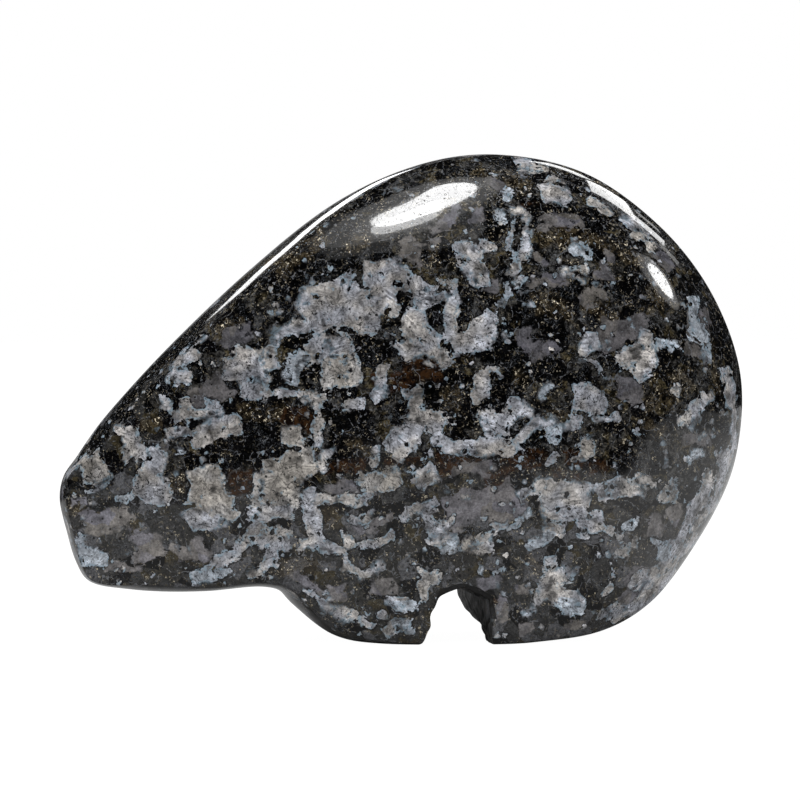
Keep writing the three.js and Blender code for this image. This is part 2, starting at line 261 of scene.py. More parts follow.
LILAC_GRAINS = [
    (15.2, 49.5, 1.5, 1.1, 20), (16.2, 48.9, 1.2, 1.0, -25), (17.2, 40.2, 0.9, 0.3, -50),
    (15.9, 40.6, 0.8, 0.3, 60), (-24.8, 31.3, 1.5, 0.9, 30), (-23.4, 32.8, 0.8, 0.25, 80),
    (-25.0, 29.4, 1.2, 0.8, -10), (-30.9, 22.0, 2.1, 1.0, -75), (-26.7, 26.0, 1.4, 0.45, -35),
    (-24.2, 25.2, 1.5, 0.7, 5), (-26.0, 23.3, 1.7, 0.7, 30), (-21.5, 23.6, 2.6, 1.3, 15),
    (-22.0, 25.9, 1.2, 0.6, -30), (-9.3, 37.0, 3.2, 2.6, 24), (-6.4, 35.8, 2.6, 2.0, -14),
    (-13.2, 34.6, 2.2, 0.8, 10), (-9.8, 32.5, 2.6, 1.2, 20), (-18.2, 31.2, 2.2, 1.1, -25),
    (-16.2, 31.6, 1.3, 0.9, 100), (-19.3, 29.4, 1.2, 1.0, 0), (-17.6, 28.0, 1.6, 1.1, 0),
    (-12.8, 27.5, 3.0, 0.55, 0), (-10.6, 24.4, 2.6, 0.45, 88), (-7.2, 26.4, 1.2, 0.8, 0),
    (-4.0, 29.3, 1.3, 0.6, 80), (-4.9, 27.2, 1.0, 0.4, 60), (-2.0, 22.4, 2.0, 1.5, 60),
    (-19.4, 23.8, 0.7, 0.8, 0), (-10.2, 20.5, 1.5, 0.6, 85), (-4.4, 20.6, 1.3, 0.3, 50),
    (-4.2, 39.6, 2.4, 1.6, 90), (0.0, 39.2, 2.0, 1.0, -15), (-1.7, 40.4, 1.3, 0.7, -30),
    (6.1, 41.8, 2.5, 1.1, 100), (7.2, 43.5, 1.1, 0.5, -20), (9.8, 44.0, 1.2, 0.45, 75),
    (11.6, 43.0, 2.6, 0.55, 63), (12.3, 45.5, 1.0, 0.6, 90), (10.6, 40.9, 0.9, 0.5, 30),
    (10.9, 40.0, 0.9, 0.35, 10), (1.2, 37.4, 1.5, 0.8, 20), (3.3, 36.3, 2.4, 0.75, 92),
    (3.4, 34.2, 0.85, 0.9, 0), (2.9, 39.6, 1.0, 0.25, -60), (3.6, 39.0, 0.9, 0.5, 90),
    (5.0, 32.8, 2.1, 0.8, 10), (6.8, 35.0, 1.8, 1.0, 60), (-0.9, 35.2, 1.2, 1.2, 0),
    (0.9, 33.3, 2.0, 1.1, -45), (1.9, 31.5, 1.8, 0.6, -45), (-1.2, 32.3, 1.3, 0.8, 10),
    (6.6, 28.6, 1.9, 0.9, 88), (6.8, 30.0, 0.9, 0.3, 15), (5.8, 26.4, 0.35, 0.3, 0),
    (8.4, 29.7, 1.2, 0.45, -60), (10.3, 26.4, 1.2, 0.55, -65), (12.2, 25.1, 1.6, 0.5, -25),
    (8.3, 24.3, 1.8, 1.0, -10), (7.4, 25.5, 0.7, 0.5, 40), (7.0, 22.0, 4.5, 0.95, 3),
    (1.0, 24.3, 2.3, 1.7, -20), (-0.5, 27.8, 1.1, 0.7, 0), (-0.9, 26.3, 0.7, 0.9, 0),
    (2.0, 22.3, 1.2, 0.9, 0), (12.0, 23.3, 1.1, 0.5, 70), (14.0, 24.3, 1.2, 0.35, -30),
    (14.3, 20.5, 1.2, 0.5, 50), (0.6, 19.3, 1.3, 0.6, 40), (18.4, 32.8, 1.9, 0.85, 80),
    (23.7, 31.5, 2.5, 1.2, 5), (25.2, 31.6, 2.2, 0.95, 95), (24.6, 29.6, 0.9, 0.6, 20),
    (19.6, 30.2, 1.4, 0.3, -50), (35.4, 19.4, 2.0, 0.9, 80), (34.4, 16.2, 1.6, 0.7, 65),
    (32.6, 13.2, 1.8, 0.8, 60), (31.4, 10.6, 1.5, 0.6, 55), (29.4, 9.2, 1.8, 1.1, 40),
    (28.0, 6.9, 1.8, 0.7, 42), (26.2, 4.8, 1.9, 0.8, 35), (23.8, 3.6, 2.2, 0.8, 22),
    (18.6, 26.8, 2.2, 1.4, 0), (20.4, 24.6, 1.4, 0.6, 5), (17.2, 24.4, 1.0, 0.6, 0),
    (31.7, 26.0, 2.0, 0.7, 38), (30.0, 24.6, 0.9, 0.8, 0), (35.7, 27.6, 2.3, 0.9, -86),
    (36.4, 23.0, 2.0, 0.7, -85), (-28.8, 19.4, 2.0, 1.1, 70), (-28.9, 16.9, 2.0, 1.7, -15),
    (-15.6, 14.8, 2.6, 1.1, 5), (-23.7, 13.6, 1.3, 1.3, 20), (-21.0, 9.0, 1.9, 0.7, 35),
    (-18.6, 12.0, 1.9, 0.7, 50), (-15.0, 11.9, 1.8, 1.2, 0), (-16.2, 9.3, 1.9, 0.6, 90),
    (-17.5, 8.0, 1.2, 0.5, 0), (-11.3, 13.9, 2.4, 1.0, 92), (-11.8, 11.2, 0.9, 0.8, 0),
    (-9.5, 10.9, 2.0, 0.55, -15), (-7.7, 11.3, 0.8, 0.7, 0), (-4.8, 11.1, 1.9, 0.55, 18),
    (-7.7, 8.7, 1.5, 0.35, -50), (-5.3, 8.3, 1.8, 0.45, 15), (-6.4, 13.8, 1.1, 0.5, 5),
    (-0.8, 14.9, 2.3, 0.6, 35), (-8.0, 16.0, 2.9, 0.45, 12), (1.3, 14.6, 0.8, 0.4, -20),
    (1.8, 13.1, 1.5, 0.5, -55), (2.7, 11.8, 0.8, 0.55, -20), (3.1, 13.5, 0.8, 0.3, 5),
    (0.4, 18.3, 1.6, 0.9, 30), (7.6, 12.2, 1.6, 0.33, 35), (6.5, 10.7, 1.1, 0.5, 0),
    (14.9, 12.6, 1.1, 0.8, -10), (12.8, 17.3, 2.2, 0.6, 20), (15.6, 16.0, 1.7, 1.8, 0),
    (14.6, 7.3, 2.0, 1.1, 25), (15.4, 5.4, 2.5, 1.2, -12), (14.2, 9.0, 0.6, 1.0, 10),
    (12.9, 4.6, 1.0, 0.3, 75), (14.3, 9.3, 0.8, 0.7, 0), (2.7, 7.9, 0.8, 0.25, 25),
    (1.8, 7.0, 0.8, 0.25, 65), (21.5, 17.3, 2.3, 0.85, 8), (25.2, 17.7, 1.2, 0.55, -10),
    (17.8, 16.0, 1.4, 1.9, 0), (18.9, 13.9, 1.6, 0.9, 0), (19.8, 12.7, 2.0, 0.6, -5),
    (17.8, 11.9, 1.1, 0.18, -25), (22.6, 10.1, 1.0, 0.65, 0), (22.2, 11.6, 0.6, 0.35, 90),
    (23.9, 11.3, 0.8, 0.3, 45), (20.8, 5.7, 1.0, 0.45, 25), (21.2, 8.1, 0.6, 0.18, -60),
    (21.6, 4.0, 1.4, 0.6, 10), (-2.6, 2.0, 1.8, 0.7, 25), (-7.0, 3.8, 0.6, 0.3, 0),
    (-5.5, 3.9, 0.6, 0.25, 0), (-3.8, 3.5, 0.9, 0.5, 10), (-2.3, 5.0, 0.9, 0.7, 0),
    (-8.8, 3.6, 4.0, 0.4, -35), (30.0, 12.0, 2.3, 0.8, 52), (32.6, 16.0, 2.2, 0.9, 65),
    (26.8, 7.9, 2.6, 0.8, 42), (24.6, 46.2, 1.3, 0.55, -25), (35.0, 19.6, 1.6, 0.7, -70),
    (12.6, 52.5, 0.9, 0.6, 0), (32.2, 22.7, 0.9, 0.2, 35), (33.4, 22.6, 0.8, 0.2, -45),
    (21.7, 19.3, 0.7, 0.22, -60), (28.7, 16.8, 1.3, 0.22, 90), (-26.9, 26.6, 0.6, 0.5, 0),
]
BEIGE_GRAINS = [
    (-34.7, 19.2, 1.5, 1.6, 25), (-8.2, 29.4, 1.9, 1.4, 15), (-13.4, 19.6, 2.6, 1.9, 20),
    (-13.7, 22.9, 1.3, 1.0, 0), (11.6, 47.2, 1.7, 0.55, -20), (20.8, 48.2, 1.6, 0.55, -35),
    (26.3, 44.0, 1.5, 0.55, -50), (16.9, 40.8, 1.8, 0.45, 10), (14.2, 52.2, 1.0, 0.7, 0),
    (28.4, 27.7, 0.8, 0.4, -30), (29.7, 24.4, 1.2, 0.75, 20), (18.3, 21.2, 0.95, 1.0, 0),
    (-23.0, 18.4, 1.7, 1.5, 20), (-22.6, 16.2, 2.3, 1.5, -20), (-20.9, 14.8, 1.8, 0.9, -30),
    (-15.0, 17.0, 2.6, 1.9, 0), (-3.5, 17.8, 1.5, 1.0, 10), (-5.4, 18.1, 1.0, 0.9, 0),
    (0.7, 6.5, 1.9, 0.85, 80), (27.6, 15.9, 1.1, 0.8, -10), (5.2, 10.6, 0.6, 0.5, 0),
    (-2.6, 36.3, 0.7, 1.0, 0),
]
DIM_GRAINS = [
    (-27.2, 20.8, 1.9, 0.6, 65), (-21.8, 27.4, 2.2, 1.3, 30), (-33.2, 13.3, 2.7, 1.1, 12),
    (-36.2, 15.8, 1.0, 0.35, 15), (-29.0, 11.2, 1.5, 1.4, 0), (-23.5, 9.9, 1.4, 0.9, -40),
    (-25.6, 10.4, 1.2, 0.6, -45), (-31.5, 8.5, 2.0, 0.5, 0), (-0.6, 43.2, 1.4, 1.2, 60),
    (2.0, 43.9, 0.8, 0.6, 0), (3.3, 45.8, 1.8, 0.7, 35), (7.0, 46.6, 0.8, 0.8, 0),
    (8.0, 39.2, 0.8, 0.7, 0), (9.0, 50.4, 1.0, 0.7, 0), (28.0, 42.3, 1.5, 0.8, -50),
    (18.8, 38.3, 0.8, 1.0, 0), (20.3, 38.3, 0.6, 0.5, 0), (17.0, 46.3, 2.2, 0.8, 5),
    (20.5, 41.5, 1.8, 0.5, 85), (20.3, 40.2, 1.3, 0.6, 0), (13.6, 39.8, 2.3, 0.7, 8),
    (13.5, 41.9, 1.3, 0.45, -60), (11.9, 32.4, 1.6, 0.9, -60), (14.2, 32.7, 1.0, 0.35, -40),
    (22.6, 34.6, 2.7, 1.2, 0), (23.3, 27.4, 1.3, 1.0, 0), (31.5, 22.3, 1.8, 0.8, 0),
    (5.5, 19.6, 1.8, 0.6, 10), (6.5, 15.8, 4.2, 1.9, 18), (10.0, 14.6, 2.4, 1.0, 30),
    (7.7, 6.9, 1.3, 0.9, 0), (9.2, 4.6, 1.1, 0.4, 90), (11.4, 6.2, 0.8, 0.8, 0),
    (11.9, 1.8, 1.1, 0.5, 20), (26.4, 13.1, 1.0, 1.2, 0), (28.6, 14.2, 0.9, 0.9, -50),
    (-4.1, 6.4, 1.3, 0.9, 0), (-12.0, 6.8, 2.4, 0.6, -30), (-9.0, 6.0, 0.8, 0.5, 90),
    (-5.0, 13.1, 1.9, 0.6, 10), (-7.0, 17.1, 2.5, 0.6, 0), (27.0, 5.8, 2.4, 0.5, 40),
    (24.0, 5.4, 1.8, 0.9, 20), (31.8, 13.0, 1.9, 0.4, 50), (34.6, 17.6, 2.2, 0.6, 72),
    (31.4, 34.0, 2.8, 1.7, 80), (21.0, 33.8, 1.4, 1.8, 0), (17.6, 2.2, 1.4, 0.7, 10),
    (-19.2, 34.5, 2.0, 1.1, 10), (24.2, 7.9, 1.9, 0.5, 25),
]
RUST_GRAINS = [
    (0.5, 30.5, 2.3, 1.1, 0), (-1.9, 29.2, 0.9, 0.8, 0), (-12.8, 24.7, 2.1, 1.0, 0),
    (-11.3, 20.4, 0.9, 0.7, 90), (-8.6, 19.4, 1.8, 0.8, 0), (-2.2, 28.5, 0.9, 0.7, 0),
    (-2.2, 20.2, 1.8, 0.5, 0), (3.0, 19.9, 3.4, 0.7, 5), (11.2, 20.3, 2.9, 1.2, 0),
    (8.6, 17.9, 1.8, 0.9, 0), (19.7, 19.8, 1.3, 0.7, 0), (17.0, 20.4, 0.7, 1.2, 0),
    (-19.0, 18.0, 1.7, 1.1, 5), (-4.6, 28.9, 0.5, 0.5, 0), (12.8, 48.0, 1.0, 0.4, 10),
    (16.0, 18.7, 1.2, 0.5, 0), (8.2, 4.9, 0.6, 0.45, 0),
]
BLACK_GRAINS = [
    (-17.0, 24.5, 3.2, 2.1, 0), (-17.5, 21.4, 2.7, 2.1, 0), (-7.0, 22.8, 2.9, 3.3, 0),
    (-5.0, 32.3, 2.2, 1.2, 0), (-15.8, 29.2, 1.6, 1.0, 0), (7.8, 32.6, 1.8, 2.0, 40),
    (9.0, 27.4, 1.5, 1.2, 90), (1.0, 27.2, 1.0, 0.9, 0), (5.6, 25.0, 1.3, 1.2, 0),
    (28.5, 32.0, 2.2, 1.3, 0), (33.9, 26.2, 2.2, 0.7, 80), (27.4, 23.7, 1.2, 0.6, 0),
    (31.5, 31.7, 1.3, 0.8, 0), (-15.2, 39.5, 2.6, 1.1, 10), (-7.5, 45.5, 3.0, 1.4, 30),
    (-1.5, 37.2, 1.8, 1.2, 0), (2.0, 35.8, 0.9, 1.1, 0), (13.0, 42.0, 0.9, 1.6, 80),
    (18.5, 47.4, 3.0, 0.5, -5), (14.6, 30.0, 1.4, 1.2, 0), (-35.4, 17.2, 2.4, 0.6, 10),
    (-33.5, 15.2, 2.2, 0.6, 5), (8.4, 22.9, 0.5, 0.12, 15), (13.0, 23.2, 1.0, 0.7, 0),
    (-29.5, 28.5, 4.5, 0.7, 52), (-24.0, 34.5, 3.2, 0.6, 48), (-33.6, 23.2, 2.4, 0.6, 56),
    (15.0, 34.6, 2.0, 0.8, -35), (12.0, 36.6, 1.8, 0.7, 0), (30.5, 36.2, 1.2, 0.5, 0),
    (20.6, 45.6, 4.0, 0.4, -8), (16.5, 37.2, 1.7, 1.0, 0),
]
GOLD_GRAINS = [
    (15.5, 44.6, 2.0, 0.8, 10), (20.0, 36.6, 2.2, 0.9, -30), (23.6, 42.4, 2.0, 0.8, -40),
    (13.6, 37.6, 1.5, 1.0, 0), (27.6, 38.6, 1.2, 1.6, -50), (19.6, 44.4, 1.8, 0.7, -10),
    (33.8, 29.6, 0.5, 2.4, 10), (26.4, 26.4, 1.6, 1.0, 0), (1.5, 42.2, 0.9, 1.3, 0),
    (11.8, 50.0, 1.6, 1.2, 0), (-4.0, 36.4, 1.0, 1.1, 0), (17.0, 41.7, 0.9, 0.45, 0),
    (10.6, 29.0, 0.8, 0.7, 0), (4.2, 30.8, 1.4, 0.6, 20), (11.1, 19.9, 0.8, 0.3, 10),
    (3.2, 27.0, 1.0, 1.3, 0), (26.5, 23.2, 0.6, 1.0, 0), (29.0, 28.6, 1.3, 1.2, 0),
    (26.3, 27.6, 0.8, 1.6, 0), (33.0, 31.5, 0.4, 2.0, 0), (-18.0, 25.6, 1.5, 0.8, 0),
    (-14.6, 25.4, 1.0, 0.8, 0), (-6.4, 22.0, 0.6, 1.6, 60), (-12.5, 43.2, 3.4, 0.9, 40),
    (-20.5, 34.6, 1.8, 0.9, 10), (-25.8, 17.6, 0.9, 1.1, 0), (-28.5, 24.3, 1.2, 0.8, 0),
    (-9.2, 13.6, 0.8, 0.9, 0), (-36.7, 14.9, 1.0, 0.5, 0), (-12.5, 8.6, 2.2, 0.9, 0),
    (25.6, 36.4, 0.7, 0.5, 0), (16.0, 36.0, 2.2, 0.5, -35), (-21.0, 13.2, 0.9, 0.25, -25),
    (-6.0, 44.2, 1.4, 0.5, 30), (8.5, 51.8, 1.4, 0.6, 0), (22.2, 50.0, 1.8, 0.4, -35),
    (12.7, 8.4, 1.2, 0.8, -30), (24.0, 24.4, 1.2, 0.6, 0), (-1.5, 2.9, 1.2, 0.5, 0),
    (14.8, 25.3, 1.2, 0.5, 0),
]

# The laid-out grains of each kind, how many more lie at random, and the size of those in millimetres
GRAINS = {
    "blue": (BLUE_GRAINS, 90, 0.9),
    "lilac": (LILAC_GRAINS, 560, 1.15),
    "beige": (BEIGE_GRAINS, 150, 1.3),
    "dim": (DIM_GRAINS, 220, 1.3),
    "rust": (RUST_GRAINS, 12, 1.6),
    "black": (BLACK_GRAINS, 110, 1.7),
    "gold": (GOLD_GRAINS, 90, 1.0),
}
GRAIN_SHAPE = np.array((1.7, 0.9, 0.8))
SMALLEST_SHARE, LARGEST_SHARE = 0.6, 1.4
GRAIN_DEPTH, DEPTH_PER_LENGTH, GRAIN_REACH = 2.2, 0.3, 6.0
GRAIN_BEND, GRAIN_WAVE = 0.40, 6.0
CRUMPLE, CRUMPLE_WAVE = 0.20, 2.2
LEAST_FACING, FACING_FADE = 0.15, 0.3


def into_box(points, centre, axes, half):
    """How far points lie inside a box with those axes and half sizes, negative outside it."""
    past = np.abs((points - centre) @ axes) - half
    return -np.linalg.norm(np.maximum(past, 0), axis=1) - np.minimum(past.max(axis=1), 0)


def bent(points):
    """Points moved by a slow wave and a quick one, so that straight grains come out wavy and lobed."""
    moves = []
    for seed in (11, 12, 13):
        slow = GRAIN_BEND * wander(points, GRAIN_WAVE, seed)
        moves.append(slow + CRUMPLE * wander(points, CRUMPLE_WAVE, seed + 9))
    return points + np.stack(moves, 1)


def grain_field(points, skin, normals, seed, laid_out, count, size):
    """Depth inside the nearest grain at each point: the laid-out boxes on the near flank, and boxes
    of random place, turn and size where the surface turns away from it. The depth is measured between
    bent points, and skin holds where they really are."""
    field = np.full(len(points), -GRAIN_REACH)
    near = np.flatnonzero((normals[:, 1] < 0) & (skin[:, 1] < 0))
    for x, z, half_long, half_wide, lean in laid_out:
        at = points[near[np.argmin((skin[near, 0] - x) ** 2 + (skin[near, 2] - z) ** 2)]]
        c, s = math.cos(math.radians(lean)), math.sin(math.radians(lean))
        axes = np.array(((c, 0, s), (0, 1, 0), (-s, 0, c))).T
        half = (half_long, GRAIN_DEPTH + DEPTH_PER_LENGTH * half_long, half_wide)
        close = np.flatnonzero((np.abs(points - at) < GRAIN_REACH + half_long).all(1))
        field[close] = np.maximum(field[close], into_box(points[close], at, axes, half))
    rng = np.random.default_rng(seed)
    wild = np.full(len(points), -GRAIN_REACH)
    turns = np.linalg.qr(rng.normal(size=(count, 3, 3)))[0]
    halves = rng.uniform(SMALLEST_SHARE, LARGEST_SHARE, (count, 3)) * GRAIN_SHAPE * size
    for at, axes, half in zip(points[rng.integers(0, len(points), count)], turns, halves):
        close = np.flatnonzero((np.abs(points - at) < GRAIN_REACH).all(1))
        wild[close] = np.maximum(wild[close], into_box(points[close], at, axes, half))
    facing = np.clip((-normals[:, 1] - LEAST_FACING) / FACING_FADE, 0, 1) * (skin[:, 1] < 0)
    return np.maximum(field, wild - GRAIN_REACH * facing)


def add(tree, kind, inputs=None, **settings):
    """A node of that kind. Settings are its properties; inputs are values or other nodes' outputs."""
    node = tree.nodes.new(kind)
    for name, value in settings.items():
        setattr(node, name, value)
    for name, value in (inputs or {}).items():
        if isinstance(value, bpy.types.NodeSocket):
            tree.links.new(value, node.inputs[name])
        else:
            node.inputs[name].default_value = value
    return node


def calc(tree, operation, *values):
    """A math node's result."""
    return add(tree, "ShaderNodeMath", dict(enumerate(values)), operation=operation).outputs[0]


def product(tree, first, *others):
    """Values multiplied together."""
    for value in others:
        first = calc(tree, "MULTIPLY", first, value)
    return first


def shift(tree, operation, *values):
    """A vector math node's result."""
    return add(tree, "ShaderNodeVectorMath", dict(enumerate(values)), operation=operation).outputs[0]


def ramp(tree, value, low, high, to_low=0.0, to_high=1.0):
    """Value eased from the range low..high to another, and held at its ends."""
    numbers = {"Value": value, "From Min": low, "From Max": high, "To Min": to_low, "To Max": to_high}
    return add(tree, "ShaderNodeMapRange", numbers, interpolation_type="SMOOTHSTEP").outputs["Result"]


def step(tree, value, level):
    """0 below a level and 1 above it, with a narrow edge."""
    return ramp(tree, value, level - 0.01, level + 0.01)


def blend(tree, factor, first, second, how="MIX"):
    """Colour mixed from two, each a colour or an output."""
    node = add(tree, "ShaderNodeMix", data_type="RGBA", blend_type=how, clamp_factor=True)
    sockets = {socket.identifier: socket for socket in node.inputs}
    for name, value in (("Factor_Float", factor), ("A_Color", first), ("B_Color", second)):
        if isinstance(value, bpy.types.NodeSocket):
            tree.links.new(value, sockets[name])
        else:
            sockets[name].default_value = value if name == "Factor_Float" else (*value, 1)
    return node.outputs[2]


def grey(tree, value):
    """A grey of that brightness."""
    return add(tree, "ShaderNodeCombineColor", {"Red": value, "Green": value, "Blue": value}).outputs[0]


def shaded(tree, colour, brightness):
    """Colour times a brightness."""
    return blend(tree, 1.0, colour, grey(tree, brightness), "MULTIPLY")


def noise(tree, where, per_mm, detail=2.0, roughness=0.5, distortion=0.0):
    """Noise about 0.5, of that many waves to the millimetre."""
    inputs = {"Vector": where, "Scale": per_mm, "Detail": detail, "Roughness": roughness}
    return add(tree, "ShaderNodeTexNoise", inputs | {"Distortion": distortion}).outputs[0]


def swing(tree, where, per_mm, size, detail):
    """Noise about zero, in millimetres."""
    return product(tree, calc(tree, "SUBTRACT", noise(tree, where, per_mm, detail), 0.5), size)


def pushed(tree, where, per_mm, size):
    """Place moved along each axis by noise from 0 to that many millimetres."""
    move = noise(tree, where, per_mm).node.outputs["Color"]
    return shift(tree, "ADD", where, shift(tree, "MULTIPLY", move, (size, size, size)))


def threads(tree, value, faint, full):
    """Thin lines where a noise passes its middle, from faint to full as it comes near it."""
    return ramp(tree, calc(tree, "ABSOLUTE", calc(tree, "SUBTRACT", value, 0.5)), faint, full)


def cells(tree, where, per_mm):
    """Outputs of the cells round scattered points, and three random values of each cell."""
    found = add(tree, "ShaderNodeTexVoronoi", {"Vector": where, "Scale": per_mm}).outputs
    return found, *add(tree, "ShaderNodeSeparateColor", {"Color": found["Color"]}).outputs


# Colours of the minerals, and up to which random value the ground's cells are black, olive or dark grey
BLACK, OLIVE, KHAKI = (0.0015, 0.0015, 0.0018), (0.030, 0.029, 0.027), (0.044, 0.036, 0.020)
DARK_GREY, MID_GREY = (0.036, 0.036, 0.036), (0.090, 0.091, 0.098)
BLACK_UP_TO, OLIVE_UP_TO, DARK_GREY_UP_TO, FEWER_GREYS = 0.15, 0.45, 0.85, 0.42
RUST_DARK, RUST_BROWN = (0.006, 0.003, 0.002), (0.046, 0.021, 0.008)
GOLD_DUST, GOLD_DARK, GOLD_BRIGHT = (0.060, 0.046, 0.026), (0.10, 0.08, 0.05), (0.95, 0.84, 0.64)
SILVER = (0.17, 0.185, 0.21)
DIM_LILAC, DIM_BEIGE = (0.112, 0.110, 0.128), (0.124, 0.115, 0.106)
PALE_WARM, PALE_COOL = (0.335, 0.318, 0.305), (0.305, 0.315, 0.350)
PALE_BEIGE, PALE_BLUE, BLUE_EDGE = (0.330, 0.305, 0.270), (0.310, 0.350, 0.400), (0.30, 0.41, 0.50)
GRIT, DARK_SEAM, PIT = (0.010, 0.010, 0.012), (0.0012, 0.0012, 0.0022), (0.002, 0.002, 0.002)
PALE_CRACK, DARK_CRACK = (0.20, 0.21, 0.23), (0.02, 0.02, 0.02)


def stone_group():
    """Colour, roughness and pits of the stone at each point of it."""
    tree = bpy.data.node_groups.new("speckled stone", "ShaderNodeTree")
    for name, kind in (("Colour", "Color"), ("Roughness", "Float"), ("Pits", "Float")):
        tree.interface.new_socket(name, in_out="OUTPUT", socket_type=f"NodeSocket{kind}")
    out = tree.nodes.new("NodeGroupOutput")

    # Places in millimetres, plain, pushed about and frayed, and the noises that several layers share
    metres = add(tree, "ShaderNodeTexCoord").outputs["Object"]
    spot = shift(tree, "MULTIPLY", metres, (1 / MM, 1 / MM, 1 / MM))
    warped = pushed(tree, spot, 0.5, 2.0)
    frayed = pushed(tree, spot, 1.8, 0.9)
    speck = noise(tree, spot, 4.2, 2, 0.7)
    mottle = noise(tree, spot, 1.3, 4, 0.65)
    cloud = noise(tree, spot, 0.7, 4, 0.65)
    smoke = noise(tree, warped, 0.55, 4, 0.6)
    broken = noise(tree, spot, 2.4, 2, 0.6)
    chips, chip, chip_tone, chip_kind = cells(tree, frayed, 1.25)

    # At the snout and the feet the ground is greyer and the crystals' outlines are smoother than elsewhere
    at = add(tree, "ShaderNodeSeparateXYZ", {"Vector": spot}).outputs
    darker = product(tree, ramp(tree, at["Z"], 12, 21), ramp(tree, at["X"], -35, -22))

    def by_place(at_snout_and_feet, elsewhere):
        return ramp(tree, darker, 0, 1, at_snout_and_feet, elsewhere)

    # Ragged outlines: waves, fine frays and angular chips
    ragged = ramp(tree, noise(tree, spot, 0.5, 1), 0.42, 0.62, 0.15, 1.0)
    fine = product(tree, swing(tree, spot, 3.0, 0.9, 2), product(tree, ragged, by_place(0.55, 1.0)))
    chipped = product(tree, calc(tree, "SUBTRACT", chip, 0.5), 0.4)
    jag = calc(tree, "ADD", calc(tree, "ADD", swing(tree, spot, 0.9, 0.9, 1), fine), chipped)
    field = {}
    for name in GRAINS:
        depth = add(tree, "ShaderNodeAttribute", attribute_name=name, attribute_type="GEOMETRY")
        field[name] = calc(tree, "ADD", depth.outputs["Fac"], jag)

    def layer(name, soft=0.05):
        return ramp(tree, field[name], -soft, soft)

    # The ground between the crystals: black, olive and grey grains, with khaki ones in places
    _, kind, _, _ = cells(tree, warped, 0.5)
    kind = calc(tree, "SUBTRACT", kind, product(tree, darker, FEWER_GREYS))
    olive = blend(tree, ramp(tree, noise(tree, warped, 0.5, 2), 0.50, 0.60), OLIVE, KHAKI)
    ground = blend(tree, step(tree, kind, BLACK_UP_TO), BLACK, olive)
    ground = blend(tree, step(tree, kind, OLIVE_UP_TO), ground, DARK_GREY)
    ground = blend(tree, step(tree, kind, DARK_GREY_UP_TO), ground, MID_GREY)
    ground = blend(tree, layer("black", 0.2), ground, BLACK)
    ground = blend(tree, product(tree, layer("gold", 0.25), 0.45), ground, GOLD_DUST)
    patchy = ramp(tree, mottle, 0.40, 0.62, by_place(0.80, 0.10), by_place(1.35, 1.8))
    specky = ramp(tree, speck, 0.35, 0.65, by_place(0.6, 0.35), by_place(1.4, 1.8))
    ground = shaded(tree, ground, product(tree, patchy, specky))
    rust = blend(tree, ramp(tree, mottle, 0.40, 0.60), RUST_DARK, RUST_BROWN)
    ground = blend(tree, layer("rust", 0.2), ground, rust)

    # Gold glitter in worm-like strands and dots, thickest where it is laid out
    strands = threads(tree, noise(tree, spot, 1.5, 1, 0.5, 0.9), 0.030, 0.010)
    strands = product(tree, strands, ramp(tree, broken, 0.50, 0.57))
    sparks, _, spark, chance = cells(tree, spot, 2.4)
    dots = product(tree, ramp(tree, sparks["Distance"], 0.27, 0.16), ramp(tree, chance, 0.66, 0.70))
    scattered = ramp(tree, noise(tree, spot, 0.33, 2), 0.42, 0.58, 0.30, 1.0)
    crowd = calc(tree, "MAXIMUM", scattered, layer("gold", 0.4))
    glitter = product(tree, calc(tree, "MAXIMUM", strands, dots), crowd)
    gold = blend(tree, calc(tree, "POWER", spark, 2.2), GOLD_DARK, GOLD_BRIGHT)
    gold = shaded(tree, gold, calc(tree, "ADD", 0.7, product(tree, layer("gold", 0.4), 0.8)))
    ground = blend(tree, glitter, ground, gold)

    # Silvery hairs, curled, in patches of the ground
    hairs = threads(tree, noise(tree, spot, 2.1, 1, 0.5, 1.6), 0.022, 0.006)
    hairs = product(tree, hairs, ramp(tree, smoke, 0.50, 0.58, 0.0, 0.6))
    ground = blend(tree, hairs, ground, SILVER)

    # Dim, half clear grains
    crystals, tone, tint, _ = cells(tree, warped, 0.34)
    dim = blend(tree, tint, DIM_LILAC, DIM_BEIGE)
    uneven = product(tree, ramp(tree, cloud, 0.3, 0.7, 0.55, 1.9), ramp(tree, speck, 0.3, 0.7, 0.7, 1.3))
    dim = shaded(tree, dim, product(tree, uneven, by_place(1.50, 1.0)))
    ground = blend(tree, product(tree, layer("dim", 0.12), 0.9), ground, dim)

    # Pale crystals: some warm, some cool, with crumbs beside them and holes in them, and smoky in places
    pale = calc(tree, "MAXIMUM", calc(tree, "MAXIMUM", field["blue"], field["lilac"]), field["beige"])
    small = product(tree, calc(tree, "SUBTRACT", 0.36, chips["Distance"]), 0.9)
    crumbs = calc(tree, "SUBTRACT", small, ramp(tree, chip_kind, 0.89, 0.88))
    holes = calc(tree, "SUBTRACT", small, ramp(tree, chip_kind, 0.12, 0.13))
    pale = calc(tree, "MINIMUM", calc(tree, "MAXIMUM", pale, crumbs), product(tree, holes, -1.0))
    soft = ramp(tree, noise(tree, spot, 0.35, 1), 0.52, 0.64, 0.03, 0.40)
    is_pale = ramp(tree, pale, product(tree, soft, -1.0), soft)
    is_pale = product(tree, is_pale, ramp(tree, smoke, 0.30, 0.44, 0.30, 1.0))
    cool = ramp(tree, noise(tree, spot, 0.42, 1), 0.36, 0.64)
    colour = blend(tree, cool, PALE_WARM, PALE_COOL)
    colour = blend(tree, product(tree, layer("beige"), 0.6), colour, PALE_BEIGE)
    colour = blend(tree, product(tree, layer("blue"), 0.8), colour, PALE_BLUE)

